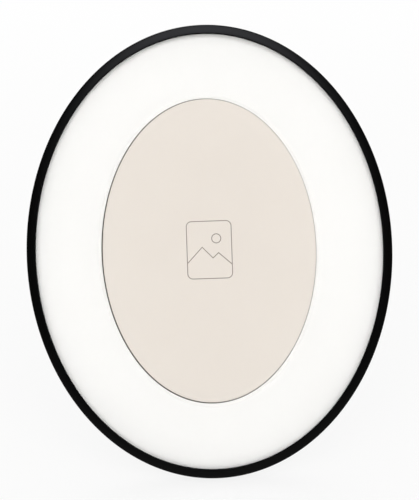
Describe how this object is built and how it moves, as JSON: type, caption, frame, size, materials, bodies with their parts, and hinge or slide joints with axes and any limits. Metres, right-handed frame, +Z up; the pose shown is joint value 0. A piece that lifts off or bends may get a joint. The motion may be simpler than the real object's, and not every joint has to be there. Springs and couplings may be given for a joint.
{
  "type": "oval picture frame",
  "caption": "Oval picture frame with a slim rim, glass, a bevelled mat and a back panel with turn-buttons, a folding easel strut and a wall ring.",
  "frame": {"origin": "on the table, in the middle of the width and of the depth of the standing frame", "axes": "+X to the right as seen from the front, front towards -Y, +Z up"},
  "size_m": [0.208, 0.093, 0.2495],
  "materials": {
    "rim_paint": "satin black powder coat on rolled metal profile",
    "clear_glass": "clear float glass",
    "mat_white": "white mat board with a white bevelled core and a grey backing ply",
    "print_card": "matt beige card",
    "filler_grey": "grey card",
    "panel_hardboard": "hardboard faced with charcoal paper",
    "strut_hardboard": "hardboard faced with charcoal paper, raw edges",
    "plated_steel": "zinc-plated pressed steel",
    "rivet_steel": "bright plated steel wire and rivets",
    "washer_fibre": "red-brown fibre"
  },
  "bodies": {
    "frame": {"oval_rim": "rim_paint", "glass_pane": "clear_glass", "mat_board": "mat_white", "photo_print": "print_card", "filler_card": "filler_grey", "back_panel": "panel_hardboard", "turn_button_washers": "washer_fibre", "turn_button_rivets": "rivet_steel", "hinge_base": "plated_steel", "hinge_pin": "rivet_steel", "hinge_base_rivets": "rivet_steel", "hanger_strap": "plated_steel", "hanger_rivet": "rivet_steel"},
    "strut": {"easel_strut": "strut_hardboard", "hinge_leaf": "plated_steel", "hinge_leaf_rivets": "rivet_steel"},
    "button_upper_left": {"turn_button_upper_left": "plated_steel"},
    "button_upper_right": {"turn_button_upper_right": "plated_steel"},
    "button_lower_left": {"turn_button_lower_left": "plated_steel"},
    "button_lower_right": {"turn_button_lower_right": "plated_steel"},
    "ring": {"hanger_ring": "rivet_steel"}
  },
  "joints": [
    {"name": "strut_fold", "type": "hinge", "parent": "frame", "child": "strut", "pos_m": [0, 0.0178, 0.16629], "axis": [1, 0, 0], "range_deg": [-26, 0]},
    {"name": "button_turn_upper_left", "type": "hinge", "parent": "frame", "child": "button_upper_left", "pos_m": [-0.05901, 0.02783, 0.19895], "axis": [0, 0.9511, -0.309], "continuous": true},
    {"name": "button_turn_upper_right", "type": "hinge", "parent": "frame", "child": "button_upper_right", "pos_m": [0.05901, 0.02783, 0.19895], "axis": [0, 0.9511, -0.309], "continuous": true},
    {"name": "button_turn_lower_left", "type": "hinge", "parent": "frame", "child": "button_lower_left", "pos_m": [-0.05901, -0.02109, 0.04838], "axis": [0, 0.9511, -0.309], "continuous": true},
    {"name": "button_turn_lower_right", "type": "hinge", "parent": "frame", "child": "button_lower_right", "pos_m": [0.05901, -0.02109, 0.04838], "axis": [0, 0.9511, -0.309], "continuous": true},
    {"name": "ring_swing", "type": "hinge", "parent": "frame", "child": "ring", "pos_m": [0, 0.03579, 0.22248], "axis": [1, 0, 0], "range_deg": [-8, 162]}
  ]
}
